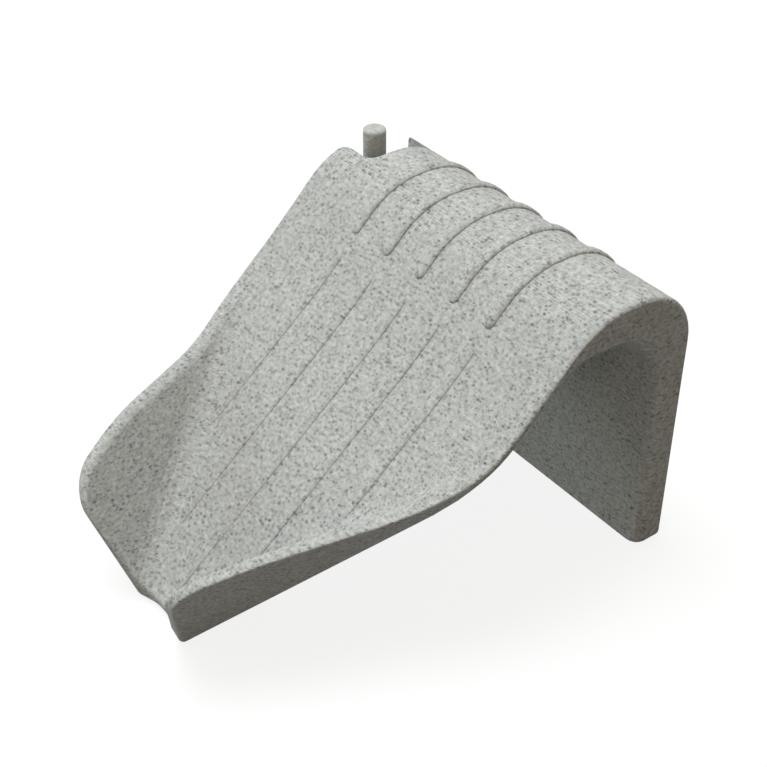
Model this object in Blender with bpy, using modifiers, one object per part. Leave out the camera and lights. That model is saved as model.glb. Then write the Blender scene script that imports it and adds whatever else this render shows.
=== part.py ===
"""Self-draining soap dish: a one-piece speckled moulding and the peg pressed into it.

The moulding is one sheet. It stands on a rear leg, turns over a rounded crown and runs
down a ribbed ramp into a scoop, whose two leaning walls narrow to a low spout lip.
Metres, +Z up. The origin is on the table, below the centre of the dish. +Y is the back.
"""
import math

import bmesh
import bpy
from mathutils import Vector

# Overall sizes
WIDTH = 0.0900
LENGTH = 0.1106
HEIGHT = 0.0697  # top of the crown, without its ribs

# Sheet thicknesses
SHEET = 0.0026  # ramp and floor of the scoop
WALL = 0.0033  # walls at their start, down to the sheet's own thickness at the nose
LEG = 0.0073
CROWN = 0.0090

# Side view of the top surface
CORNER_RUN = 0.0160  # length of the crown's rear rounding along Y
CORNER_RISE = 0.0150  # and its height
CROWN_EDGE = 0.02685  # rear face to where the crown would meet the ramp
CROWN_ROUND = 0.0073
RAMP_FOOT = 0.0466  # rear face to the foot of the ramp
RAMP_DROP = 0.0195  # crown down to the foot of the ramp
RAMP_FOOT_Z = HEIGHT - RAMP_DROP
RAMP_FOOT_ROUND = 0.0040
LIP_BACK = 0.00415  # front of the walls back to the lip's top edge
LIP_Z = 0.0011

# Side view of the underside
ARCH_DROP = 0.0202  # crown down to where the slanted inner corner leaves the leg
ARCH_CORNER_Z = HEIGHT - ARCH_DROP
ARCH_CORNER_RUN = 0.0088
ARCH_CORNER_ROUND = 0.0042
ARCH_FRONT_ROUND = 0.0033
LEG_ROUND = 0.0030

# Scoop walls
LIP_WIDTH = 0.0178
SPREAD_AHEAD = 0.0086  # foot of the ramp to where the walls leave the full width
SPREAD_BACK = RAMP_FOOT + SPREAD_AHEAD
SHOULDER = 0.0050  # softening in plan where the walls leave the sides, as a reach across X
WALL_LEAN = math.radians(13.7)  # outward, from square to the floor
WALL_AHEAD = 0.0080  # foot of the ramp to where the rim leaves the floor
WALL_START = RAMP_FOOT + WALL_AHEAD
KNEE_AHEAD = 0.0235  # foot of the ramp to the bend where the rim levels out
KNEE = RAMP_FOOT + KNEE_AHEAD
KNEE_RISE = 0.0054  # straight up from the floor
BROW = 0.0140  # front of the walls back to the last bend of the rim
BROW_RISE = 0.0234
NOSE_AHEAD = 0.0018  # unrounded front corner ahead of the rounded one
NOSE_RISE = 0.0301
NOSE_ROUND = 0.0074
RIM_ROUND = 0.0060  # rounding of the rim's bends
ROOT_FILLET = 0.0050  # inside, between floor and wall
ROOT_FLARE = 0.0015  # how much thicker a wall is at its root
LIP_RECESS = 0.0020  # hollow of the lip between its two tips

# Edge roundings
TOP_EDGE = 0.0011
UNDER_EDGE = 0.0023
WALL_HEEL = 0.0010  # outside, between floor and wall
FOOT_CORNER = 0.0015

# Ribs
RIB_COUNT = 5
RIB_PITCH = 0.0115
RIB_WIDTH = 0.0029
RIB_HEIGHT = 0.0007
LOW_RIB_HEIGHT = 0.0004
RIB_SHOULDER = 0.0011  # width of each rounded side
RIB_ROOT = 0.0010  # how deep a rib is sunk in the sheet
RIB_DROP = 0.0117  # crown down to the lower end on the rear face
RIB_REAR_Z = HEIGHT - RIB_DROP
RIB_END = 0.0366  # rear face to the front end of the upper ribs
RIB_GAP = 0.0035  # along Y, between an upper rib and the lower one
LOW_RIB_MARGIN = 0.0060  # lower end of a rib to the wall or lip

# Peg, its pocket in the crown and the shelf below
PEG_DIAMETER = 0.0054
PEG_RISE = 0.0034  # peg's top above the crown
PEG_TOP = HEIGHT + PEG_RISE
PEG_SIDE = 0.0045  # far side of the dish in to the peg's axis
PEG_REAR = 0.0179  # rear face to the peg's axis
PEG_SEAT = 0.0040  # how deep the peg stands in the shelf
PEG_EDGE = 0.0006
FIT = 0.0003
POCKET_SIDE = 0.0110  # how far the pocket reaches in from the far side
POCKET_REAR = 0.0046  # rear face to the pocket
POCKET_FRONT = 0.0236
POCKET_ROUND = 0.0030
MOUTH_ROUND = 0.0032  # rounding in plan between the far side and the pocket's front
POCKET_DEPTH = 0.0097
SHELF_TOP = HEIGHT - POCKET_DEPTH
SHELF_THICK = 0.0060
SHELF_MARGIN = 0.0020
SHELF_BITE = 0.0010  # how far the shelf reaches up into the crown

# Mesh steps
ARCH_STEPS = 30
BEND_STEPS = 5
NOSE_STEPS = 4
CUT_DEPTH = 0.0040  # how far the cutters and the sheet run past the faces that they cut

REAR_Y = LENGTH / 2
FRONT_Y = -LENGTH / 2
HALF = WIDTH / 2


def corner(point, before, after, back, ahead, count):
    """Points of a rounding that is tangent to both sides of a corner in the side view."""
    start = point + (before - point).normalized() * back
    end = point + (after - point).normalized() * ahead
    points = []
    for step in range(count):
        turn = math.pi / 2 * step / (count - 1)
        points.append(point + (start - point) * (1 - math.sin(turn)) + (end - point) * (1 - math.cos(turn)))
    return points


def crossing(point, along, other, other_along):
    """Where two straight lines of the side view meet."""
    normal = Vector((-other_along.y, other_along.x))
    return point + along * (normal.dot(other - point) / normal.dot(along))


def lengths(path):
    """Running length of a path at each of its points."""
    total = [0.0]
    for here, there in zip(path, path[1:]):
        total.append(total[-1] + (there - here).length)
    return total


def along_path(path, share):
    """The point at a share of a path's length."""
    total = lengths(path)
    goal = share * total[-1]
    for index in range(1, len(path)):
        if goal <= total[index] or index == len(path) - 1:
            step = (goal - total[index - 1]) / (total[index] - total[index - 1])
            return path[index - 1].lerp(path[index], step)


# Corners of the side view, as (y, z)
CROWN_REAR = Vector((REAR_Y, HEIGHT))
CROWN_FRONT = Vector((REAR_Y - CROWN_EDGE, HEIGHT))
FOOT_TOP = Vector((REAR_Y - RAMP_FOOT, RAMP_FOOT_Z))
LIP_TOP = Vector((FRONT_Y + LIP_BACK, LIP_Z))
RAMP_DOWN = (FOOT_TOP - CROWN_FRONT).normalized()
FLOOR_DOWN = (LIP_TOP - FOOT_TOP).normalized()
RAMP_UP = Vector((RAMP_DOWN.y, -RAMP_DOWN.x))
FLOOR_UP = Vector((FLOOR_DOWN.y, -FLOOR_DOWN.x))
ARCH_REAR = Vector((REAR_Y - LEG, ARCH_CORNER_Z))
ARCH_TOP = Vector((REAR_Y - LEG - ARCH_CORNER_RUN, HEIGHT - CROWN))
ARCH_FRONT = crossing(ARCH_TOP, Vector((-1, 0)), FOOT_TOP - RAMP_UP * SHEET, RAMP_DOWN)
FOOT_UP = (RAMP_UP + FLOOR_UP).normalized()
FOOT_UNDER = FOOT_TOP - FOOT_UP * SHEET / FOOT_UP.dot(FLOOR_UP)
LIP_UNDER = LIP_TOP - FLOOR_UP * SHEET
LEG_TOP_Z = min(ARCH_CORNER_Z - LEG_ROUND, HEIGHT - CORNER_RISE)

# Spread of the bottom edge of the walls, per length of the floor
SPREAD = (HALF - LIP_WIDTH / 2) / ((LENGTH - SPREAD_BACK - LIP_BACK) / -FLOOR_DOWN.x)
WALL_SLANT = math.sqrt(1 + SPREAD ** 2 + math.tan(WALL_LEAN) ** 2)


def top_path():
    """Top surface over the crown and down the ramp, from the leg to the floor."""
    leg = Vector((REAR_Y, LEG_TOP_Z))
    path = [leg]
    path += corner(CROWN_REAR, leg, CROWN_FRONT, CORNER_RISE, CORNER_RUN, 3 * BEND_STEPS)
    path += corner(CROWN_FRONT, CROWN_REAR, FOOT_TOP, CROWN_ROUND, CROWN_ROUND, 2 * BEND_STEPS)
    path += corner(FOOT_TOP, CROWN_FRONT, LIP_TOP, RAMP_FOOT_ROUND, RAMP_FOOT_ROUND, BEND_STEPS)
    return path


def under_path():
    """Underside of the arch and the ramp, from the leg to the floor."""
    leg = Vector((REAR_Y - LEG, LEG_TOP_Z))
    path = [leg - Vector((0, LEG_ROUND))]
    path += corner(ARCH_REAR, leg, ARCH_TOP, LEG_ROUND, LEG_ROUND, BEND_STEPS)
    path += corner(ARCH_TOP, ARCH_REAR, ARCH_FRONT, ARCH_CORNER_ROUND, ARCH_CORNER_ROUND, 2 * BEND_STEPS)
    path += corner(ARCH_FRONT, ARCH_TOP, FOOT_UNDER, ARCH_FRONT_ROUND, ARCH_FRONT_ROUND, 2 * BEND_STEPS)
    path += corner(FOOT_UNDER, ARCH_FRONT, LIP_UNDER, RAMP_FOOT_ROUND, RAMP_FOOT_ROUND, BEND_STEPS)
    return path


def above_floor(y, rise):
    """A point of the side view straight above the scoop's floor."""
    floor = crossing(FOOT_TOP, FLOOR_DOWN, Vector((y, 0)), Vector((0, 1)))
    return floor + Vector((0, rise))


def rim_path():
    """Rim of a wall in the side view, from the floor to the foot of its front edge."""
    start = FOOT_TOP + FLOOR_DOWN * RAMP_FOOT_ROUND
    leave = above_floor(REAR_Y - WALL_START, 0)
    knee = above_floor(REAR_Y - KNEE, KNEE_RISE)
    brow = above_floor(FRONT_Y + BROW, BROW_RISE)
    nose = above_floor(FRONT_Y - NOSE_AHEAD, NOSE_RISE)
    path = [start]
    path += corner(leave, start, knee, RIM_ROUND * 0.7, RIM_ROUND, BEND_STEPS)
    path += corner(knee, leave, brow, RIM_ROUND, RIM_ROUND, BEND_STEPS)
    path += corner(brow, knee, nose, RIM_ROUND, RIM_ROUND, BEND_STEPS)
    path += corner(nose, brow, LIP_UNDER, NOSE_ROUND, NOSE_ROUND, 2 * BEND_STEPS)
    return path


def wall_x(point):
    """Half width of the walls' outer faces at a point (y, z) of the side view."""
    offset = point - LIP_UNDER
    sheer = LIP_WIDTH / 2 - SPREAD * offset.dot(FLOOR_DOWN) + math.tan(WALL_LEAN) * offset.dot(FLOOR_UP)
    blend = max(0.0, SHOULDER - abs(sheer - HALF)) / SHOULDER
    return min(sheer, HALF) - SHOULDER / 4 * blend ** 2


def station(under, top, floor=None, heel=UNDER_EDGE, inset=0.0, recess=0.0, half=None, wall=WALL):
    """One section across the sheet, in the plane that holds X and the line from under to top."""
    reach = (top - under).length
    wide = half if half is not None else min(HALF, wall_x(top))
    low = half if half is not None else min(HALF, wall_x(under))
    return {
        "under": under,
        "up": (top - under).normalized(),
        "rim": reach,
        "floor": reach if floor is None else floor,
        "x_low": low,
        "x_rim": wide,
        "heel": heel,
        "inset": inset,
        "recess": recess,
        "wall": wall,
    }


def half_outline(place):
    """Half of a section as (x, height): over the top to the rim, and back along the underside."""
    inset = place["inset"]
    side = inset * WALL_SLANT
    low, floor, rim = inset, place["floor"] - inset, place["rim"] - inset
    slope = (place["x_rim"] - place["x_low"]) / place["rim"]
    thick = place["wall"] * WALL_SLANT - 2 * side
    heel = Vector((place["x_low"] + slope * low - side, low))
    outer = Vector((place["x_low"] + slope * rim - side, rim))
    inner = Vector((outer.x - thick, rim))
    root = Vector((place["x_low"] + slope * floor - side - thick - ROOT_FLARE, floor))
    top_mid, low_mid = Vector((0, floor)), Vector((0, low))
    rise = (inner - root).length
    depth = place["floor"] - 2 * inset
    edge = min(TOP_EDGE, 0.24 * depth, 0.4 * thick)
    under = min(place["heel"], 0.7 * depth)
    points = [top_mid, top_mid.lerp(root, 0.22), top_mid.lerp(root, 0.44)]
    across, up = min(ROOT_FILLET, 0.5 * root.x), min(ROOT_FILLET, 0.6 * rise)
    points += corner(root, top_mid, inner, across, up, BEND_STEPS)
    points += corner(inner, root, outer, min(TOP_EDGE, 0.3 * rise), 0.4 * thick, BEND_STEPS)
    points += corner(outer, inner, heel, edge, edge, BEND_STEPS)
    points += corner(heel, outer, low_mid, under, under, BEND_STEPS)
    points += [low_mid.lerp(heel, 0.44), low_mid.lerp(heel, 0.22), low_mid]
    return points


def section(place):
    """Closed loop of a section's points in space."""
    half = half_outline(place)
    loop = [(x, height) for x, height in half]
    loop += [(-x, height) for x, height in reversed(half[1:-1])]
    points = []
    for x, height in loop:
        spot = place["under"] + place["up"] * height
        hollow = place["recess"] * max(0.0, 1 - (x / place["x_low"]) ** 2)
        spot = spot - FLOOR_DOWN * hollow
        points.append(Vector((x, spot.x, spot.y)))
    return points


def leg_stations():
    """Sections of the leg, from just below the table to the start of the arch."""
    places = []
    top, under = Vector((REAR_Y, 0)), Vector((REAR_Y - LEG, 0))
    turns = [math.pi / 2 * step / BEND_STEPS for step in range(BEND_STEPS + 1)]
    for z in [-CUT_DEPTH] + [FOOT_CORNER * (1 - math.cos(turn)) for turn in turns]:
        cut_in = FOOT_CORNER - math.sqrt(max(0.0, FOOT_CORNER ** 2 - (FOOT_CORNER - max(z, 0.0)) ** 2))
        rise = Vector((0, z))
        places.append(station(under + rise, top + rise, half=HALF - cut_in))
    return places


def arch_stations():
    """Sections over the crown and down the ramp."""
    over, below = top_path(), under_path()
    places = []
    for step in range(ARCH_STEPS + 1):
        share = step / ARCH_STEPS
        top, under = along_path(over, share), along_path(below, share)
        near_front = top.x < CROWN_FRONT.x
        places.append(station(under, top, half=None if near_front else HALF))
    return places


def scoop_stations():
    """Sections of the scoop, with the rounded front edge of its walls and lip."""
    rim = rim_path()
    start = FOOT_UNDER + FLOOR_DOWN * RAMP_FOOT_ROUND
    total = lengths(rim)
    round_over = SHEET / 2
    shares = [length / total[-1] for length in total[1:] if total[-1] - length > 1.5 * round_over]
    for step in range(NOSE_STEPS + 1):
        turn = math.pi / 2 * (1 - 0.85 * step / NOSE_STEPS)
        shares.append(1 - round_over * (1 - math.cos(turn)) / total[-1])
    places = []
    for share in shares:
        top, under = along_path(rim, share), start.lerp(LIP_UNDER, share)
        ahead = (1 - share) * total[-1]
        up = (top - under).normalized()
        nose = max(0.0, 1 - ahead / round_over)
        inset = round_over * (1 - math.sqrt(1 - nose ** 2))
        recess = LIP_RECESS * max(0.0, 1 - ahead / (4 * LIP_RECESS)) ** 2
        floor = SHEET / up.dot(FLOOR_UP)
        rise = (top - under).length - floor
        heel = WALL_HEEL + (UNDER_EDGE - WALL_HEEL) * max(0.0, 1 - rise / SHEET)
        wall = WALL + (SHEET - WALL) * share
        places.append(station(under, top, floor, heel, inset, recess, wall=wall))
    return places


def loft(name, loops, top_count=0):
    """A closed body through sections with the same count of points, with both ends capped.

    With a top_count, the caps are strips between the top and the underside of the sheet.
    """
    mesh_data = bmesh.new()
    rows = [[mesh_data.verts.new(point) for point in loop] for loop in loops]
    count = len(rows[0])
    for here, there in zip(rows, rows[1:]):
        for index in range(count):
            after = (index + 1) % count
            mesh_data.faces.new((here[index], here[after], there[after], there[index]))
    last = 2 * top_count - 1
    for row in (rows[0], rows[-1]):
        if not top_count:
            mesh_data.faces.new(row)
        for index in range(top_count - 1):
            mesh_data.faces.new((row[index], row[index + 1], row[last - index - 1], row[last - index]))
            left = [row[-index % count], row[-index - 1], row[last + index + 1], row[last + index]]
            mesh_data.faces.new(left)
    bmesh.ops.recalc_face_normals(mesh_data, faces=mesh_data.faces)
    mesh = bpy.data.meshes.new(name)
    mesh_data.to_mesh(mesh)
    mesh_data.free()
    return mesh


def place_object(name, data, collection, location=(0, 0, 0)):
    """A new object for a mesh or a curve."""
    thing = bpy.data.objects.new(name, data)
    thing.location = location
    collection.objects.link(thing)
    return thing


def material(name, color, roughness):
    """A plain moulded plastic."""
    plastic = bpy.data.materials.new(name)
    plastic.use_nodes = True
    shader = plastic.node_tree.nodes["Principled BSDF"]
    shader.inputs["Base Color"].default_value = (*color, 1.0)
    shader.inputs["Roughness"].default_value = roughness
    shader.inputs["Metallic"].default_value = 0.0
    plastic.diffuse_color = (*color, 1.0)
    return plastic


def guide(thing):
    """Marks a cutter or another helper, which isn't a piece of the dish."""
    thing.hide_render = True
    thing.display_type = "WIRE"
    return thing


def combine(thing, others, operation):
    """Adds a Boolean modifier with all the helpers of a collection."""
    step = thing.modifiers.new(others.name, "BOOLEAN")
    step.operation = operation
    step.solver = "EXACT"
    step.operand_type = "COLLECTION"
    step.collection = others


def box(name, low, high, collection):
    """A box between two corners."""
    shape = bmesh.new()
    bmesh.ops.create_cube(shape, size=1.0)
    low, high = Vector(low), Vector(high)
    bmesh.ops.scale(shape, vec=high - low, verts=shape.verts)
    bmesh.ops.translate(shape, vec=(low + high) / 2, verts=shape.verts)
    mesh = bpy.data.meshes.new(name)
    shape.to_mesh(mesh)
    shape.free()
    return place_object(name, mesh, collection)


def turned(name, profile, collection, location):
    """A turned piece from its (radius, height) profile, top to bottom, on the Z axis."""
    mesh = bpy.data.meshes.new(name)
    points = [(radius, 0.0, height) for radius, height in profile]
    mesh.from_pydata(points, [(n, n + 1) for n in range(len(points) - 1)], [])
    thing = place_object(name, mesh, collection, location)
    screw = thing.modifiers.new("turn", "SCREW")
    screw.angle = math.tau
    screw.steps = 32
    screw.render_steps = 32
    screw.use_merge_vertices = True
    screw.merge_threshold = 0.00001
    return thing


def rib_section(wide, crest):
    """Outline of a rib as (side, height): rounded sides and a flat top."""
    low_left, low_right = Vector((-wide, -RIB_ROOT)), Vector((wide, -RIB_ROOT))
    left, right = Vector((-wide, crest)), Vector((wide, crest))
    round_side = RIB_SHOULDER * wide / (RIB_WIDTH / 2)
    round_rise = min(RIB_SHOULDER, 0.85 * crest)
    points = [low_left]
    points += corner(left, low_left, right, round_rise, round_side, BEND_STEPS)
    points += corner(right, left, low_right, round_side, round_rise, BEND_STEPS)
    return points + [low_right]


def rib_loops(x, start, end, path, height):
    """Sections of a rib between two shares of the top surface's length, with round ends."""
    total = lengths(path)
    half = RIB_WIDTH / 2 / total[-1]
    turns = [math.radians(angle) for angle in (20, 45, 70, 90)]
    tip = [(half * (1 - math.cos(turn)), math.sin(turn)) for turn in turns]
    places = [(start + ahead, swell) for ahead, swell in tip]
    places += [(s / total[-1], 1.0) for s in total if start + 2 * half < s / total[-1] < end - 2 * half]
    places += [(end - ahead, swell) for ahead, swell in reversed(tip)]
    loops = []
    for share, swell in places:
        here = along_path(path, share)
        behind, ahead = along_path(path, share - half / 4), along_path(path, share + half / 4)
        heading = ahead - behind
        outward = Vector((heading.y, -heading.x)).normalized()
        loop = []
        for side, rise in rib_section(RIB_WIDTH / 2 * swell, height * swell):
            spot = here + outward * rise
            loop.append(Vector((x + side, spot.x, spot.y)))
        loops.append(loop)
    return loops


def share_at(path, axis, value):
    """Share of a path's length where it first passes a value of y (axis 0) or z (axis 1)."""
    total = lengths(path)
    for index in range(1, len(path)):
        before, after = path[index - 1][axis], path[index][axis]
        if min(before, after) <= value <= max(before, after) and before != after:
            step = (value - before) / (after - before)
            return (total[index - 1] + step * (total[index] - total[index - 1])) / total[-1]
    return 1.0


def rib(name, loops, collection):
    """A low ridge whose lower part is sunk in the sheet."""
    return guide(place_object(name, loft(name, loops), collection))


def make_ribs(ribs):
    """Rows of ribs: each runs over the crown, stops, and goes on down the ramp into the scoop."""
    over = top_path()
    floor_path = over + [LIP_TOP]
    for row in range(RIB_COUNT):
        x = (row - (RIB_COUNT - 1) / 2) * RIB_PITCH
        start = share_at(over, 1, RIB_REAR_Z)
        end = share_at(over, 0, REAR_Y - RIB_END)
        rib(f"upper_rib_{row + 1}", rib_loops(x, start, end, over, RIB_HEIGHT), ribs)
        wall_reach = (HALF - abs(x)) / SPREAD * -FLOOR_DOWN.x
        low_y = REAR_Y - SPREAD_BACK - min(wall_reach, LENGTH - SPREAD_BACK - LIP_BACK) + LOW_RIB_MARGIN
        start = share_at(floor_path, 0, REAR_Y - RIB_END - RIB_GAP)
        end = share_at(floor_path, 0, low_y)
        rib(f"lower_rib_{row + 1}", rib_loops(x, start, end, floor_path, LOW_RIB_HEIGHT), ribs)


def pocket_outline():
    """Plan of the pocket as (x, y), from its rear wall round to the rounded mouth."""
    outside, side = -HALF - CUT_DEPTH, -HALF + POCKET_SIDE
    rear, front = REAR_Y - POCKET_REAR, REAR_Y - POCKET_FRONT
    rear_inner, front_inner = Vector((side, rear)), Vector((side, front))
    mouth, along = Vector((-HALF, front)), Vector((-HALF, front - MOUTH_ROUND))
    points = [Vector((outside, rear))]
    points += corner(rear_inner, points[0], front_inner, POCKET_ROUND, POCKET_ROUND, BEND_STEPS)
    points += corner(front_inner, rear_inner, mouth, POCKET_ROUND, POCKET_ROUND, BEND_STEPS)
    points += corner(mouth, front_inner, along, MOUTH_ROUND, MOUTH_ROUND, BEND_STEPS)
    return points + [Vector((outside, front - MOUTH_ROUND))]


def make_body(parts, shelves, cutters, ribs):
    """The one-piece moulding."""
    places = leg_stations() + arch_stations() + scoop_stations()
    loops = [section(place) for place in places]
    top_count = len(half_outline(places[0])) // 2
    body = place_object("dish_body", loft("dish_body", loops, top_count), parts)
    shelf = box(
        "shelf",
        (-HALF, REAR_Y - POCKET_FRONT - SHELF_MARGIN, SHELF_TOP - SHELF_THICK),
        (-HALF + POCKET_SIDE + SHELF_MARGIN, REAR_Y - LEG / 2, HEIGHT - CROWN + SHELF_BITE),
        shelves,
    )
    guide(shelf)
    loops = [[Vector((x, y, z)) for x, y in pocket_outline()] for z in (SHELF_TOP, HEIGHT + CUT_DEPTH)]
    guide(place_object("pocket", loft("pocket", loops), cutters))
    socket_radius = PEG_DIAMETER / 2 + FIT
    socket_low = SHELF_TOP - PEG_SEAT - FIT
    socket = turned(
        "socket",
        [(0, SHELF_TOP + CUT_DEPTH), (socket_radius, SHELF_TOP + CUT_DEPTH), (socket_radius, socket_low),
         (0, socket_low)],
        cutters,
        peg_place(),
    )
    guide(socket)
    table = box(
        "table",
        (-WIDTH, -LENGTH, -2 * CUT_DEPTH),
        (WIDTH, LENGTH, 0.0),
        cutters,
    )
    guide(table)
    make_ribs(ribs)
    combine(body, shelves, "UNION")
    combine(body, cutters, "DIFFERENCE")
    combine(body, ribs, "UNION")
    body.data.shade_smooth()
    body.data.set_sharp_from_angle(angle=math.radians(40))
    body.data.materials.append(material("speckled_grey", (0.45, 0.455, 0.435), 0.7))
    return body


def peg_place():
    """Where the peg's axis stands on the table plane."""
    return (-HALF + PEG_SIDE, REAR_Y - PEG_REAR, 0.0)


def make_peg(parts):
    """The round peg, which stands in its socket in the shelf."""
    radius = PEG_DIAMETER / 2
    low = SHELF_TOP - PEG_SEAT
    profile = [(0, PEG_TOP)]
    for step in range(4):
        turn = math.pi / 2 * step / 3
        edge_in, edge_down = PEG_EDGE * (1 - math.sin(turn)), PEG_EDGE * (1 - math.cos(turn))
        profile.append((radius - edge_in, PEG_TOP - edge_down))
    profile += [(radius, low), (0, low)]
    peg = turned("corner_peg", profile, parts, peg_place())
    peg.data.materials.append(material("warm_grey", (0.46, 0.45, 0.41), 0.6))
    return peg


def main():
    for thing in list(bpy.data.objects):
        bpy.data.objects.remove(thing)
    parts = bpy.data.collections.new("soap_dish")
    shelves = bpy.data.collections.new("shelves")
    cutters = bpy.data.collections.new("cutters")
    ribs = bpy.data.collections.new("ribs")
    for group in (parts, shelves, cutters, ribs):
        bpy.context.scene.collection.children.link(group)
    make_body(parts, shelves, cutters, ribs)
    make_peg(parts)


main()
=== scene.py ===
"""Looks of the self-draining soap dish: speckled matt plastic with faint layer lines."""
import math

import bmesh
import bpy
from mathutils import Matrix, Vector

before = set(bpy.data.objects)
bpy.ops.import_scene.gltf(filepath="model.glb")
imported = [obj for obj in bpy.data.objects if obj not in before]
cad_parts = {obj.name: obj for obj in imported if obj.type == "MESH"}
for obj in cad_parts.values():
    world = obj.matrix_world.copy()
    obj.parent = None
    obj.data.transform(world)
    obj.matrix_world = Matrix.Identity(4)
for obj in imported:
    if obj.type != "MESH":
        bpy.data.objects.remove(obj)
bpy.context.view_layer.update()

MM = 0.001

# Camera at the photograph's angle, with its angles in degrees
CAMERA_PLACE = (0.2048, -0.1412, 0.2262)
CAMERA_TILT = 53.247  # up from straight down
CAMERA_TURN = 53.553  # round from the front
CAMERA_LENS = 68.20
SENSOR = 36.0
CAMERA_NEAR = 10 * MM

# Colours, linear
WHITE = (1.0, 1.0, 1.0)
BODY_COLOR = (0.650, 0.661, 0.645)
BODY_DARK = (0.085, 0.088, 0.085)
PEG_COLOR = (0.615, 0.630, 0.605)
PEG_DARK = (0.10, 0.098, 0.090)

# Share of the full speckle that each piece has
BODY_SPECKLE = 1.0
PEG_SPECKLE = 0.6

# Dark specks: spacing, least and greatest radius in spacings, strength of the faintest, darkening
SPECK = 0.80 * MM
SPECK_RADII = (0.22, 0.56)
SPECK_FAINTEST = 0.35
SPECK_DARKENS = 0.42

# Larger and sparser flecks, in the same terms
FLECK = 3.0 * MM
FLECK_RADII = (0.02, 0.13)
FLECK_FAINTEST = 0.4
FLECK_DARKENS = 0.58

# Outline of each speck and fleck, in its spacings
SPOT_EDGE = (-0.05, 0.15)
SPOT_WAVER = 0.20
SPOT_WAVER_SPACING = 0.35

# Fine grain between the specks
DUST = 0.85 * MM
DUST_RANGE = (0.33, 0.70)
DUST_DARKENS = 0.46

# Soft patches, outside which the specks are fainter
CLOUD = 2.6 * MM
CLOUD_RANGE = (0.30, 0.65)
CLOUD_DARKENS = 0.05
SPECKS_OUTSIDE = 0.70

# Layer lines, with their waver as a phase in radians
LAYER = 0.25 * MM
LAYER_DARKENS = 0.12
LAYER_WAVER = 0.5
LAYER_WAVER_SPACING = 2.5 * MM

# Specks lie along the layers, so the grain is drawn out sideways and squeezed in height
GRAIN_SCALE = (0.80, 0.80, 1.35)

# Matt surface with a slight relief
ROUGHNESS = (0.74, 0.92)
GLOSS = 0.2
BUMP_STRENGTH = 0.6
BUMP_DEPTH = 0.06 * MM
LAYER_RELIEF = 0.35
DUST_RELIEF = 1.6

# Floor
FLOOR_COLOR = (0.17, 0.17, 0.17)
FLOOR_ROUGHNESS = 0.9
FLOOR_GLOSS = 0.1
FLOOR_GLOW = 0.855
FLOOR_REACH = 3.0
FLOOR_DROP = 0.1 * MM

# Square soft lamps: place, width, watts and colour
LAMPS = {
    "key": ((-0.20, -0.13, 1.20), 0.6, 12.2, (0.94, 0.98, 1.0)),
    "front": ((0.60, -1.04, 0.15), 0.5, 1.5, (1.0, 0.93, 0.78)),
    "far_side": ((-0.98, -0.69, 0.12), 0.5, 5.1, (0.88, 1.0, 1.0)),
    "behind": ((-0.30, 1.20, 0.42), 0.6, 3.2, WHITE),
}
LAMP_TARGET = (0, 0, 0.03)

# Warm light that comes from all round
AMBIENT_COLOR = (1.0, 0.87, 0.68)
AMBIENT = 0.24


def node(tree, kind, **inputs):
    """A shader node with some of its inputs set by name."""
    made = tree.nodes.new(kind)
    for name, value in inputs.items():
        made.inputs[name.replace("_", " ")].default_value = value
    return made


def math_node(tree, operation, *values):
    """The result of a Math node on sockets or numbers."""
    made = tree.nodes.new("ShaderNodeMath")
    made.operation = operation
    for socket, value in zip(made.inputs, values):
        if isinstance(value, (int, float)):
            socket.default_value = value
        else:
            tree.links.new(value, socket)
    return made.outputs[0]


def plus(tree, first, *others):
    """Sum of sockets."""
    for other in others:
        first = math_node(tree, "ADD", first, other)
    return first


def times(tree, first, second):
    """Product of two sockets, or of a socket and a number."""
    return math_node(tree, "MULTIPLY", first, second)


def map_range(tree, source, interpolation, **limits):
    """A socket mapped from one range onto another, and held at their ends."""
    made = node(tree, "ShaderNodeMapRange", **limits)
    made.interpolation_type = interpolation
    tree.links.new(source, made.inputs["Value"])
    return made.outputs["Result"]


def ramp(tree, source, low, high, interpolation="LINEAR"):
    """0 at low and below, 1 at high and above."""
    return map_range(tree, source, interpolation, From_Min=low, From_Max=high)


def between(tree, source, low, high):
    """Maps 0 to 1 onto low to high."""
    return map_range(tree, source, "LINEAR", To_Min=low, To_Max=high)


def color_socket(sockets, name):
    """The colour socket of that name on a Mix node, which has others of the same name."""
    return [socket for socket in sockets if socket.name == name and socket.type == "RGBA"][0]


def blend_color(tree, factor, first, second):
    """Mixes two fixed colours."""
    made = tree.nodes.new("ShaderNodeMix")
    made.data_type = "RGBA"
    tree.links.new(factor, made.inputs["Factor"])
    for name, color in (("A", first), ("B", second)):
        color_socket(made.inputs, name).default_value = (*color, 1.0)
    return color_socket(made.outputs, "Result")


def noise(tree, vector, spacing, detail=2.0, roughness=0.5):
    """Noise whose blobs are about one spacing apart."""
    made = node(tree, "ShaderNodeTexNoise", Scale=1.0 / spacing, Detail=detail, Roughness=roughness)
    tree.links.new(vector, made.inputs["Vector"])
    return made.outputs["Fac"]


def spots(tree, vector, spacing, radii, faintest):
    """Scattered spots of mixed sizes and strengths on a ground of 0."""
    cells = node(tree, "ShaderNodeTexVoronoi", Scale=1.0 / spacing)
    tree.links.new(vector, cells.inputs["Vector"])
    chance = tree.nodes.new("ShaderNodeSeparateColor")
    tree.links.new(cells.outputs["Color"], chance.inputs["Color"])
    waver = times(tree, noise(tree, vector, SPOT_WAVER_SPACING * spacing), SPOT_WAVER)
    radius = between(tree, chance.outputs["Red"], *radii)
    edge = math_node(tree, "SUBTRACT", plus(tree, cells.outputs["Distance"], waver), radius)
    inside = math_node(tree, "SUBTRACT", 1.0, ramp(tree, edge, *SPOT_EDGE, "SMOOTHSTEP"))
    return times(tree, inside, between(tree, chance.outputs["Green"], faintest, 1.0))


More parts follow.
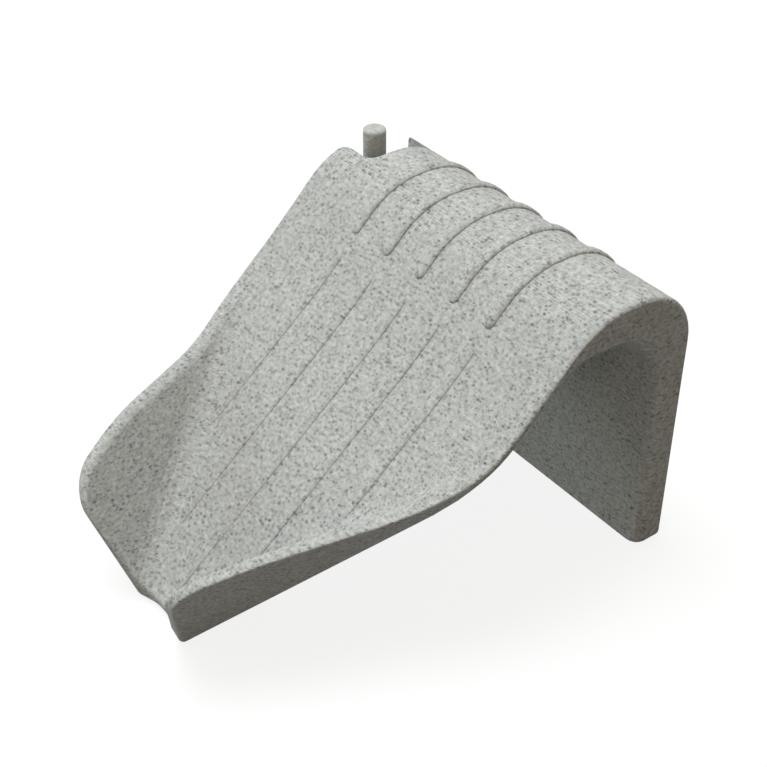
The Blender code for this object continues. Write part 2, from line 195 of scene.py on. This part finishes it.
def along_layers(tree, place):
    """Coordinates for the grain, drawn out along the layers."""
    stretch = node(tree, "ShaderNodeMapping", Scale=GRAIN_SCALE)
    tree.links.new(place, stretch.inputs["Vector"])
    return stretch.outputs["Vector"]


def layer_wave(tree, place):
    """A sine in height with one period to a layer and a wavering phase."""
    height = tree.nodes.new("ShaderNodeSeparateXYZ")
    tree.links.new(place, height.inputs["Vector"])
    turns = times(tree, height.outputs["Z"], math.tau / LAYER)
    waver = times(tree, noise(tree, place, LAYER_WAVER_SPACING), LAYER_WAVER)
    return math_node(tree, "SINE", plus(tree, turns, waver))


def darkness(tree, place, grain, dust, layers):
    """How dark the speckle is, from 0 for the plain colour to 1 for the dark one."""
    cloud = noise(tree, place, CLOUD, detail=3.0, roughness=0.6)
    cloud = ramp(tree, cloud, *CLOUD_RANGE, "SMOOTHSTEP")
    soft = times(tree, cloud, CLOUD_DARKENS)
    grit = times(tree, ramp(tree, dust, *DUST_RANGE), DUST_DARKENS)
    line = times(tree, ramp(tree, layers, -1.0, 1.0), LAYER_DARKENS)
    speck = times(tree, spots(tree, grain, SPECK, SPECK_RADII, SPECK_FAINTEST), SPECK_DARKENS)
    speck = times(tree, speck, between(tree, cloud, SPECKS_OUTSIDE, 1.0))
    fleck = times(tree, spots(tree, grain, FLECK, FLECK_RADII, FLECK_FAINTEST), FLECK_DARKENS)
    return math_node(tree, "MAXIMUM", plus(tree, soft, grit, line, speck), fleck)


def bumps(tree, dust, layers):
    """Normals of the fine relief."""
    bump = node(tree, "ShaderNodeBump", Strength=BUMP_STRENGTH, Distance=BUMP_DEPTH)
    relief = plus(tree, times(tree, layers, LAYER_RELIEF), times(tree, dust, DUST_RELIEF))
    tree.links.new(relief, bump.inputs["Height"])
    return bump.outputs["Normal"]


def new_material(name):
    """A material with its node tree and shader."""
    material = bpy.data.materials.new(name)
    material.use_nodes = True
    tree = material.node_tree
    return material, tree, tree.nodes["Principled BSDF"]


def speckled_plastic(name, light, dark, speckle):
    """Matt plastic with fine dark specks, sparser flecks, soft mottling and faint layer lines."""
    material, tree, shader = new_material(name)
    place = tree.nodes.new("ShaderNodeTexCoord").outputs["Object"]
    grain = along_layers(tree, place)
    dust = noise(tree, grain, DUST, detail=3.0, roughness=0.7)
    layers = layer_wave(tree, place)

    shade = times(tree, darkness(tree, place, grain, dust, layers), speckle)
    shade = math_node(tree, "MINIMUM", shade, 1.0)
    tree.links.new(blend_color(tree, shade, light, dark), shader.inputs["Base Color"])
    tree.links.new(between(tree, dust, *ROUGHNESS), shader.inputs["Roughness"])
    tree.links.new(bumps(tree, dust, layers), shader.inputs["Normal"])
    shader.inputs["Specular IOR Level"].default_value = GLOSS
    return material


def seen_directly(tree):
    """1 in the view, in gloss and through glass, and 0 for the light that falls on the dish."""
    path = tree.nodes.new("ShaderNodeLightPath")
    seen = math_node(tree, "MAXIMUM", path.outputs["Is Camera Ray"], path.outputs["Is Glossy Ray"])
    return math_node(tree, "MAXIMUM", seen, path.outputs["Is Transmission Ray"])


def floor_material():
    """A pale surface that looks white in the view and still takes the dish's shadow."""
    material, tree, shader = new_material("floor_white")
    shader.inputs["Base Color"].default_value = (*FLOOR_COLOR, 1.0)
    shader.inputs["Roughness"].default_value = FLOOR_ROUGHNESS
    shader.inputs["Specular IOR Level"].default_value = FLOOR_GLOSS
    shader.inputs["Emission Color"].default_value = (*WHITE, 1.0)
    tree.links.new(times(tree, seen_directly(tree), FLOOR_GLOW), shader.inputs["Emission Strength"])
    return material


def floor():
    """A wide pale floor under the dish."""
    shape = bmesh.new()
    bmesh.ops.create_grid(shape, x_segments=2, y_segments=2, size=FLOOR_REACH)
    mesh = bpy.data.meshes.new("floor")
    shape.to_mesh(mesh)
    shape.free()
    thing = bpy.data.objects.new("floor", mesh)
    thing.location = (0, 0, -FLOOR_DROP)
    thing.data.materials.append(floor_material())
    bpy.context.scene.collection.objects.link(thing)


def lamp(name, place, width, watts, color):
    """A square soft lamp that faces the dish."""
    light = bpy.data.lights.new(name, "AREA")
    light.size = width
    light.energy = watts
    light.color = color
    thing = bpy.data.objects.new(name, light)
    thing.location = place
    aim = Vector(LAMP_TARGET) - Vector(place)
    thing.rotation_euler = aim.to_track_quat("-Z", "Y").to_euler()
    bpy.context.scene.collection.objects.link(thing)


def surroundings():
    """A world that looks white in the view and gives the dish a weaker warm light."""
    world = bpy.data.worlds.new("studio")
    world.use_nodes = True
    tree = world.node_tree
    background = tree.nodes["Background"]
    seen = seen_directly(tree)
    tree.links.new(blend_color(tree, seen, AMBIENT_COLOR, WHITE), background.inputs["Color"])
    tree.links.new(between(tree, seen, AMBIENT, 1.0), background.inputs["Strength"])
    bpy.context.scene.world = world


def camera():
    """The photograph's view."""
    data = bpy.data.cameras.new("camera")
    data.lens = CAMERA_LENS
    data.sensor_width = SENSOR
    data.clip_start = CAMERA_NEAR
    thing = bpy.data.objects.new("camera", data)
    thing.location = CAMERA_PLACE
    thing.rotation_euler = (math.radians(CAMERA_TILT), 0, math.radians(CAMERA_TURN))
    bpy.context.scene.collection.objects.link(thing)
    bpy.context.scene.camera = thing


def dress(name, material):
    """Gives a CAD node its finish."""
    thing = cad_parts[name]
    thing.data.materials.clear()
    thing.data.materials.append(material)


camera()
for name, settings in LAMPS.items():
    lamp(name, *settings)
surroundings()
floor()
dress("dish_body", speckled_plastic("speckled_grey", BODY_COLOR, BODY_DARK, BODY_SPECKLE))
dress("corner_peg", speckled_plastic("warm_grey", PEG_COLOR, PEG_DARK, PEG_SPECKLE))

bpy.context.scene.view_settings.view_transform = "Standard"
